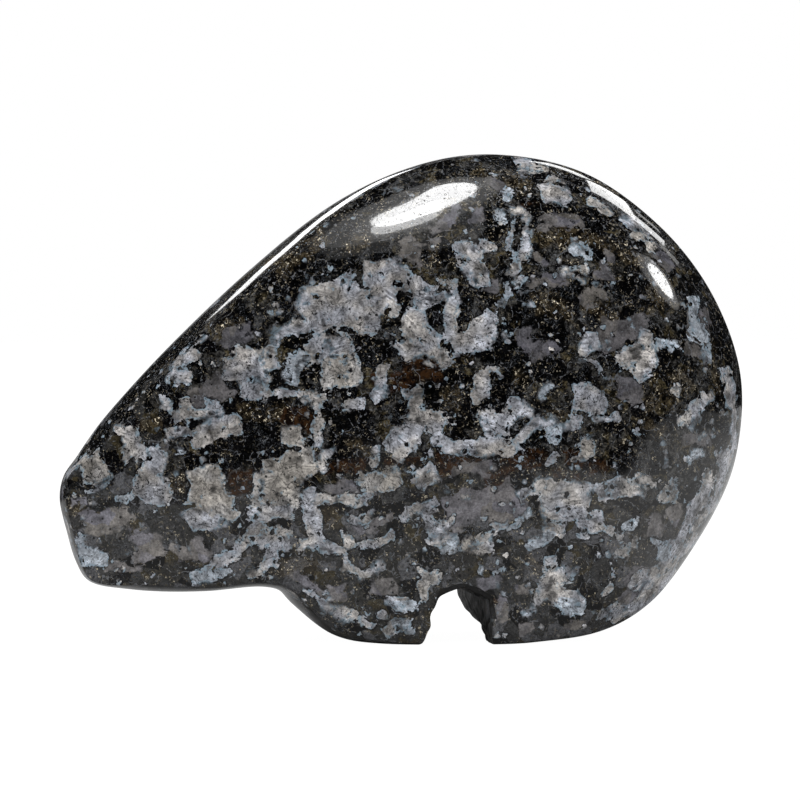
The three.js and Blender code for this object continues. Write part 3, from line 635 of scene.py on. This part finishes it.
    # Fine dark lines in them: fans from the middle of a crystal, or sheaves along its own axis
    spun = add(tree, "ShaderNodeVectorRotate", {"Vector": spot, "Axis": crystals["Color"], "Angle": 2.2})
    sheaf = noise(tree, shift(tree, "MULTIPLY", spun.outputs[0], (3.4, 0.35, 3.4)), 1.0, 1)
    outward = shift(tree, "NORMALIZE", shift(tree, "SUBTRACT", warped, crystals["Position"]))
    fan = noise(tree, outward, 6.5, 1)
    lines = blend(tree, step(tree, tone, 0.50), grey(tree, fan), grey(tree, sheaf))

    # Lightness: cloudy, veined, each a little different, paler to the rump, and to the feet by painted
    # light
    light = product(
        tree,
        ramp(tree, tone, 0, 1, 0.88, 1.32),
        ramp(tree, cloud, 0.3, 0.7, 0.66, 1.58),
        ramp(tree, lines, 0.36, 0.50, 0.60, 1.12),
        ramp(tree, chip_tone, 0, 1, 0.90, 1.08),
        ramp(tree, smoke, 0.36, 0.62, 0.66, 1.22),
        ramp(tree, noise(tree, spot, 1.1, 5, 0.7, 0.5), 0.32, 0.44, 0.45, 1.06),
        ramp(tree, speck, 0.3, 0.7, 0.80, 1.20),
        # Painted light: the pale crystals brighter towards the feet
        ramp(tree, at["Z"], 14, 5, 1.0, 1.25),
        ramp(tree, at["X"], -20, 20, 0.96, 1.10),
    )
    colour = shaded(tree, colour, light)

    # A bluish edge inside their outlines, a dark seam outside them, and black grit over them
    edge = product(tree, ramp(tree, pale, 0.32, 0.06), ramp(tree, mottle, 0.45, 0.56, 0.0, 0.8))
    colour = blend(tree, edge, colour, BLUE_EDGE)
    grit = ramp(tree, noise(tree, spot, 3.2, 3, 0.6), 0.58, 0.61)
    patch = ramp(tree, noise(tree, spot, 0.4, 2), 0.45, 0.58, 0.2, 1.0)
    colour = blend(tree, product(tree, grit, patch, 0.9), colour, GRIT)
    seam = product(tree, ramp(tree, pale, -0.35, -0.08), ramp(tree, cloud, 0.42, 0.52), 0.9)
    ground = blend(tree, seam, ground, DARK_SEAM)
    colour = blend(tree, is_pale, ground, colour)

    # Hairline cracks, dark in the pale crystals and pale in the dark ones
    split = add(tree, "ShaderNodeTexVoronoi", {"Vector": warped, "Scale": 0.55}, feature="DISTANCE_TO_EDGE")
    hairline = ramp(tree, split.outputs["Distance"], 0.030, 0.010)
    hairline = product(tree, hairline, ramp(tree, broken, 0.50, 0.56), 0.7)
    colour = blend(tree, hairline, colour, blend(tree, is_pale, PALE_CRACK, DARK_CRACK))

    # Dark pits in the polish, and finer pores
    hollows, size, _, _ = cells(tree, spot, 1.1)
    pits = ramp(tree, calc(tree, "SUBTRACT", hollows["Distance"], product(tree, size, 0.15)), 0.05, -0.01)
    colour = blend(tree, product(tree, pits, 0.9), colour, PIT)
    pores = ramp(tree, noise(tree, spot, 4.0, 1), 0.64, 0.70)
    pits = calc(tree, "MAXIMUM", pits, product(tree, pores, 0.3))
    tree.links.new(colour, out.inputs["Colour"])
    tree.links.new(ramp(tree, speck, 0.3, 0.7, 0.03, 0.08), out.inputs["Roughness"])
    tree.links.new(pits, out.inputs["Pits"])
    return tree


STONE_IOR, PIT_STRENGTH = 1.52, 0.5
# The cut faces' colour is near black, partly their dark stone and partly painted shade, as in the notch
CUT_DARK_AND_SHADE, CUT_DARK_AND_SHADE_SHARE, UNPOLISHED_ROUGHNESS = (0.008, 0.0075, 0.007), 0.8, 0.4
stone_pattern = stone_group()


def stone_material(name, unpolished_and_shaded, pit_depth):
    """The stone with a finish: unpolished_and_shaded from 0 for full polish to 1 for a coarse ground face,
    rougher and made near black by painted shade, and the depth of its pits in millimetres."""
    material = bpy.data.materials.new(name)
    material.use_nodes = True
    tree = material.node_tree
    shader = tree.nodes["Principled BSDF"]
    shader.inputs["IOR"].default_value = STONE_IOR
    speckle = add(tree, "ShaderNodeGroup", node_tree=stone_pattern).outputs
    rough = calc(tree, "ADD", speckle["Roughness"], unpolished_and_shaded * UNPOLISHED_ROUGHNESS)
    colour = blend(tree, unpolished_and_shaded * CUT_DARK_AND_SHADE_SHARE, speckle["Colour"], CUT_DARK_AND_SHADE)
    pitted = {"Strength": PIT_STRENGTH, "Distance": pit_depth * MM, "Height": speckle["Pits"]}
    bump = add(tree, "ShaderNodeBump", pitted, invert=True)
    tree.links.new(colour, shader.inputs["Base Color"])
    tree.links.new(rough, shader.inputs["Roughness"])
    tree.links.new(bump.outputs[0], shader.inputs["Normal"])
    return material


polished_stone = stone_material("polished stone", unpolished_and_shaded=0.0, pit_depth=0.04)

# The notch between the front and the hind foot is sawn through and filed, and on the far side it is
# cut back into the hind foot. The soles are ground flat. Both are cut out of the body, which is one
# piece of stone, and show it duller than the polish does, and darker: partly its black grains, partly
# painted shade.
NOTCH_BACK, NOTCH_SHOULDER, NOTCH_DEPTH = 8.4, 4.9, 36.0
NOTCH_MIDDLE = np.array((4.95, 1.5))
BACK_CUT, BACK_CUT_FROM, BACK_CUT_OVER = 3.2, NOTCH_BACK - 1.5, 8.0
FLANK_AT, EDGE_ROUND, EDGE_STEPS = 12.0, 0.6, 12
ARC_STEPS, GROUND_STEPS, NOTCH_STEPS = 14, 4, 100
FILE_WAVE, FILE_SWING, FILED_ABOVE = 1.7, 0.09, -0.9

# The arch of the notch seen from the side, as x and z in millimetres: its corners from below the front
# foot over the crest to below the hind foot, then the points that its four curves bend to
FRONT_FOOT, FRONT_WALL, FRONT_BEND = (-0.7, -1.0), (1.5, 1.5), (1.8, 3.1)
CREST, BACK_BEND = (5.0, 6.2), (8.1, NOTCH_SHOULDER)
BACK_WALL, BACK_FOOT = (NOTCH_BACK, 1.2), (9.6, -1.0)
FRONT_PULL, ROOF_PULL, SHOULDER_PULL, BACK_PULL = (1.4, 0.0), (2.3, 6.2), (6.4, 6.1), (8.5, 0.0)


def bend(start, pull, end):
    """Points of a quadratic curve from start towards end, bent to a third point."""
    t = np.linspace(0, 1, ARC_STEPS, endpoint=False)[:, None]
    return (1 - t) ** 2 * np.array(start) + 2 * t * (1 - t) * np.array(pull) + t**2 * np.array(end)


def straight(start, end, steps=ARC_STEPS):
    """Evenly spaced points of a straight line, without its end."""
    t = np.linspace(0, 1, steps, endpoint=False)[:, None]
    return (1 - t) * np.array(start) + t * np.array(end)


def ease(value, low, high):
    """0 up to low and 1 from high on, with a smooth cubic between them."""
    t = np.clip((value - low) / (high - low), 0, 1)
    return t * t * (3 - 2 * t)


def notch_grid():
    """The arch in x and z, carried along y. Its back wall slides back near the ground, by an ease
    towards the far side times the square of the depth below its shoulder. Its points move away from
    its middle by the file marks, and by a quarter circle where it comes out through a flank."""
    arch = np.concatenate([
        bend(FRONT_FOOT, FRONT_PULL, FRONT_WALL),
        straight(FRONT_WALL, FRONT_BEND),
        bend(FRONT_BEND, ROOF_PULL, CREST),
        bend(CREST, SHOULDER_PULL, BACK_BEND),
        straight(BACK_BEND, BACK_WALL),
        bend(BACK_WALL, BACK_PULL, BACK_FOOT),
        straight(BACK_FOOT, FRONT_FOOT, GROUND_STEPS),
    ])
    inner, outer = FLANK_AT - EDGE_ROUND, FLANK_AT + EDGE_ROUND / 4
    mouth = np.linspace(inner, outer, EDGE_STEPS, endpoint=False)
    far_mouth = np.array([*mouth[1:], outer, NOTCH_DEPTH / 2])
    between = np.linspace(-inner, inner, NOTCH_STEPS)
    y = np.concatenate([-far_mouth[::-1], between, far_mouth])[:, None]
    x, z = arch[:, 0] + 0 * y, arch[:, 1] + 0 * y
    low = np.clip(1 - z / NOTCH_SHOULDER, 0, 1)
    far = ease(y, -BACK_CUT_OVER, BACK_CUT_OVER)
    x = x + BACK_CUT * ease(x, BACK_CUT_FROM, NOTCH_BACK) * low**2 * far

    points = np.stack([x, y + 0 * x, z], -1)
    filing = FILE_SWING * wander(points.reshape(-1, 3), FILE_WAVE, seed=5).reshape(x.shape)
    into_mouth = np.clip((np.abs(y) - inner) / EDGE_ROUND, 0, 1)
    widened = EDGE_ROUND * (1 - np.sqrt(1 - into_mouth**2))
    away = points[..., [0, 2]] - NOTCH_MIDDLE
    away /= np.linalg.norm(away, axis=2, keepdims=True)
    points[..., [0, 2]] += away * ((filing + widened) * (z > FILED_ABOVE))[..., None]
    pole = np.full((1, len(arch), 3), (NOTCH_MIDDLE[0], NOTCH_DEPTH / 2, NOTCH_MIDDLE[1]))
    return np.concatenate([pole * (1, -1, 1), points, pole])


SOLE_FRONT, SOLE_BACK, SOLE_HALF, SOLE_DEPTH, SOLE_STEP = -12.0, 24.0, 13.0, 5.0, 0.6


def sole_block():
    """Closed block whose top is a fine grid at ground height."""
    xs = np.arange(SOLE_FRONT, SOLE_BACK, SOLE_STEP)
    ys = np.arange(-SOLE_HALF, SOLE_HALF, SOLE_STEP)
    x, y = np.meshgrid(xs, ys)
    top = np.stack([x, y, 0 * x], -1).reshape(-1, 3)
    index = np.arange(x.size).reshape(x.shape)
    quads = np.stack([index[:-1, :-1], index[:-1, 1:], index[1:, 1:], index[1:, :-1]], -1).reshape(-1, 4)
    rim = np.concatenate([index[0, :-1], index[:-1, -1], index[-1, :0:-1], index[:0:-1, 0]])
    below = top[rim] - (0, 0, SOLE_DEPTH)
    sunk = len(top) + np.arange(len(rim))
    sides = np.stack([rim, sunk, np.roll(sunk, -1), np.roll(rim, -1)], -1)
    mesh = bpy.data.meshes.new("sole block")
    faces = quads.tolist() + sides.tolist() + [sunk[::-1].tolist()]
    mesh.from_pydata(np.concatenate([top, below]), [], faces)
    mesh.update()
    return mesh


FINISHES = (polished_stone, stone_material("ground stone", unpolished_and_shaded=1.0, pit_depth=0.08))


def cut_away(cutters):
    """Takes each cutter's solid out of the bear's mesh. The cut faces get the second finish."""
    tools = []
    for mesh in cutters:
        flip_outward(mesh)
        for finish in FINISHES:
            mesh.materials.append(finish)
        mesh.polygons.foreach_set("material_index", np.ones(len(mesh.polygons), int))
        tool = bpy.data.objects.new("cutter", mesh)
        bpy.context.scene.collection.objects.link(tool)
        cut = bear.modifiers.new("cut", "BOOLEAN")
        cut.operation, cut.solver, cut.object = "DIFFERENCE", "MANIFOLD", tool
        tools.append(tool)
    shape = bear.evaluated_get(bpy.context.evaluated_depsgraph_get())
    carved = bpy.data.meshes.new_from_object(shape)
    bear.modifiers.clear()
    for tool in tools:
        bpy.data.objects.remove(tool)
    bear.data = carved


for finish in FINISHES:
    body.materials.append(finish)
cut_away([ball_mesh("notch", notch_grid()), sole_block()])

# The crystals run through the whole stone, so they are set out over its finished surface. Before that
# the shape is moved along x to the middle of the solid's box.
SHARPEST_SMOOTH_EDGE = math.radians(40)

stone = bear.data
place, normal = read_points(stone), read_points(stone, "normal")
low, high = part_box("bear")
place[:, 0] += (low.x + high.x) / 2 / MM - (place[:, 0].min() + place[:, 0].max()) / 2
stone.vertices.foreach_set("co", (place * MM).ravel())
stone.polygons.foreach_set("use_smooth", np.ones(len(stone.polygons), bool))
stone.set_sharp_from_angle(angle=SHARPEST_SMOOTH_EDGE)
crumpled = bent(place)
for seed, (name, kind) in enumerate(GRAINS.items()):
    grain = stone.attributes.new(name, "FLOAT", "POINT")
    grain.data.foreach_set("value", grain_field(crumpled, place, normal, seed, *kind))
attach(bear, "root")
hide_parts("bear")

# Floor: a plain sheet. The camera sees it glow white. The light that comes back off it to the stone
# is a grey sheet's, and past the table's edge there is almost none.
FLOOR_HALF = 3.0
FLOOR_GLOW, FLOOR_WHITE, FLOOR_DIM, FLOOR_FAR = 0.99, 0.10, 0.41, 0.02
TABLE_EDGE, TABLE_FADE = 0.16, 0.10


def sheet_mesh(name, half):
    """A flat square at ground height."""
    mesh = bpy.data.meshes.new(name)
    corners = [(-half, -half, 0), (half, -half, 0), (half, half, 0), (-half, half, 0)]
    mesh.from_pydata(corners, [], [(0, 1, 2, 3)])
    mesh.update()
    return mesh


paint = bpy.data.materials.new("floor paint")
paint.use_nodes = True
tree = paint.node_tree
shader = tree.nodes["Principled BSDF"]
shader.inputs["Roughness"].default_value = 1.0
shader.inputs["Specular IOR Level"].default_value = 0.0
shader.inputs["Emission Color"].default_value = (1, 1, 1, 1)
seen = add(tree, "ShaderNodeLightPath").outputs["Is Camera Ray"]
metres = add(tree, "ShaderNodeTexCoord").outputs["Object"]
away = add(tree, "ShaderNodeVectorMath", {0: metres}, operation="LENGTH").outputs["Value"]
dim = ramp(tree, away, TABLE_EDGE, TABLE_EDGE + TABLE_FADE, FLOOR_DIM, FLOOR_FAR)
white = blend(tree, seen, grey(tree, dim), (FLOOR_WHITE, FLOOR_WHITE, FLOOR_WHITE))
tree.links.new(white, shader.inputs["Base Color"])
tree.links.new(product(tree, seen, FLOOR_GLOW), shader.inputs["Emission Strength"])
floor = bpy.data.objects.new("floor", sheet_mesh("floor", FLOOR_HALF))
bpy.context.scene.collection.objects.link(floor)
floor.data.materials.append(paint)


# Studio lights. All but the last show only in the polish: the key overhead with its tail, glow and halo
# and a dim ceiling, a strip, a box and a backdrop behind for the gleam along the back, boxes, strips and
# a disc at the right for those at the rump, and a card that faces up from the ground beside the stone.
# One soft box, from above on the left, lights the stone itself.
def softbox(name, centre, aim, width, height, strength, turn=0, shape="RECTANGLE", gleams=True):
    """Flat light of that brightness that faces a point, turned about its own axis by degrees. It shows
    either in the polish or as plain light."""
    light = bpy.data.lights.new(name, "AREA")
    light.shape, light.size, light.size_y = shape, width, height
    light.energy = strength * width * height * math.pi
    lamp = bpy.data.objects.new(name, light)
    facing = (Vector(centre) - Vector(aim)).to_track_quat("Z", "Y")
    lamp.location = centre
    lamp.rotation_euler = (facing @ Quaternion((0, 0, 1), math.radians(turn))).to_euler()
    lamp.visible_camera = False
    lamp.visible_glossy = gleams
    lamp.visible_diffuse = not gleams
    bpy.context.scene.collection.objects.link(lamp)


STONE_AT = (0.0, 0.0, 0.04)
softbox("key", (0.001, -0.13, 0.64), (0.001, -0.129, 0.0), 0.155, 0.29, 13.5, -17, "ELLIPSE")
softbox("key tail", (-0.040, -0.26, 0.64), (-0.040, -0.259, 0.0), 0.10, 0.20, 6.5, -14, "ELLIPSE")
softbox("key glow", (-0.035, -0.20, 0.64), (-0.035, -0.199, 0.0), 0.19, 0.46, 1.3, -20, "ELLIPSE")
softbox("key halo", (-0.055, -0.20, 0.64), (-0.055, -0.199, 0.0), 0.32, 0.60, 0.7, -20, "ELLIPSE")
softbox("ceiling", (-0.08, -0.35, 0.66), (-0.08, -0.349, 0.0), 0.4, 0.8, 0.45)
softbox("back strip", (-0.20, 0.8, 0.362), STONE_AT, 0.22, 0.036, 4.5, 20.8)
softbox("back box", (-0.03, 0.8, 0.293), STONE_AT, 0.16, 0.055, 4.5, 20.8)
softbox("backdrop", (0.0, 0.8, 0.13), STONE_AT, 0.8, 0.08, 0.2)
softbox("top right strip", (0.375, 0.678, 0.70), STONE_AT, 0.19, 0.12, 6)
softbox("right box", (0.62, 0.57, 0.785), (0.0, 0.57, 0.785), 0.42, 0.35, 8)
softbox("right strip", (0.62, 0.41, 0.545), (0.0, 0.41, 0.545), 0.15, 0.15, 6)
softbox("right tail", (0.62, 0.29, 0.44), (0.0, 0.29, 0.44), 0.08, 0.10, 1.5)
softbox("right edge strip", (0.62, 0.68, 0.53), (0.0, 0.68, 0.53), 0.10, 0.10, 1.5)
softbox("side disc", (0.62, -0.112, 0.405), STONE_AT, 0.12, 0.12, 14, shape="ELLIPSE")
softbox("side glow", (0.62, -0.125, 0.41), STONE_AT, 0.20, 0.20, 1.2, shape="ELLIPSE")
softbox("low card", (0.24, 0.17, 0.002), (0.24, 0.169, 1.0), 0.41, 0.65, 0.50)
softbox("soft box", (-0.40, -0.50, 0.90), (0.0, 0.0, 0.03), 0.8, 0.8, 2.0, gleams=False)

# White surroundings for the camera, softer ones for the stone and dark ones for its polish
AROUND_STONE, AROUND_POLISH = 0.70, 0.015
world = bpy.data.worlds.new("studio")
bpy.context.scene.world = world
world.use_nodes = True
tree = world.node_tree
path = add(tree, "ShaderNodeLightPath").outputs
level = product(tree, path["Is Diffuse Ray"], AROUND_STONE - AROUND_POLISH)
level = calc(tree, "MAXIMUM", calc(tree, "ADD", AROUND_POLISH, level), path["Is Camera Ray"])
sky = add(tree, "ShaderNodeBackground", {"Color": (1, 1, 1, 1), "Strength": level})
tree.links.new(sky.outputs[0], tree.nodes["World Output"].inputs["Surface"])
bpy.context.scene.view_settings.view_transform = "Standard"

# Camera: a little round towards the snout, and just above the middle of the stone
AZIMUTH, ELEVATION, DISTANCE = math.radians(-8), math.radians(1.4), 0.470
TARGET = Vector((-0.00035, 0.0, 0.0265))
PICTURE_PIXELS, PIXEL_AT_TARGET = 800, 0.0001113
lens = bpy.data.cameras.new("camera")
camera = bpy.data.objects.new("camera", lens)
bpy.context.scene.collection.objects.link(camera)
level_share = math.cos(ELEVATION)
towards = Vector((math.sin(AZIMUTH) * level_share, -math.cos(AZIMUTH) * level_share, math.sin(ELEVATION)))
camera.location = TARGET + towards * DISTANCE
camera.rotation_euler = towards.to_track_quat("Z", "Y").to_euler()
lens.angle = 2 * math.atan(PICTURE_PIXELS / 2 * PIXEL_AT_TARGET / DISTANCE)
lens.clip_start, lens.clip_end = 0.01, 50
bpy.context.scene.camera = camera
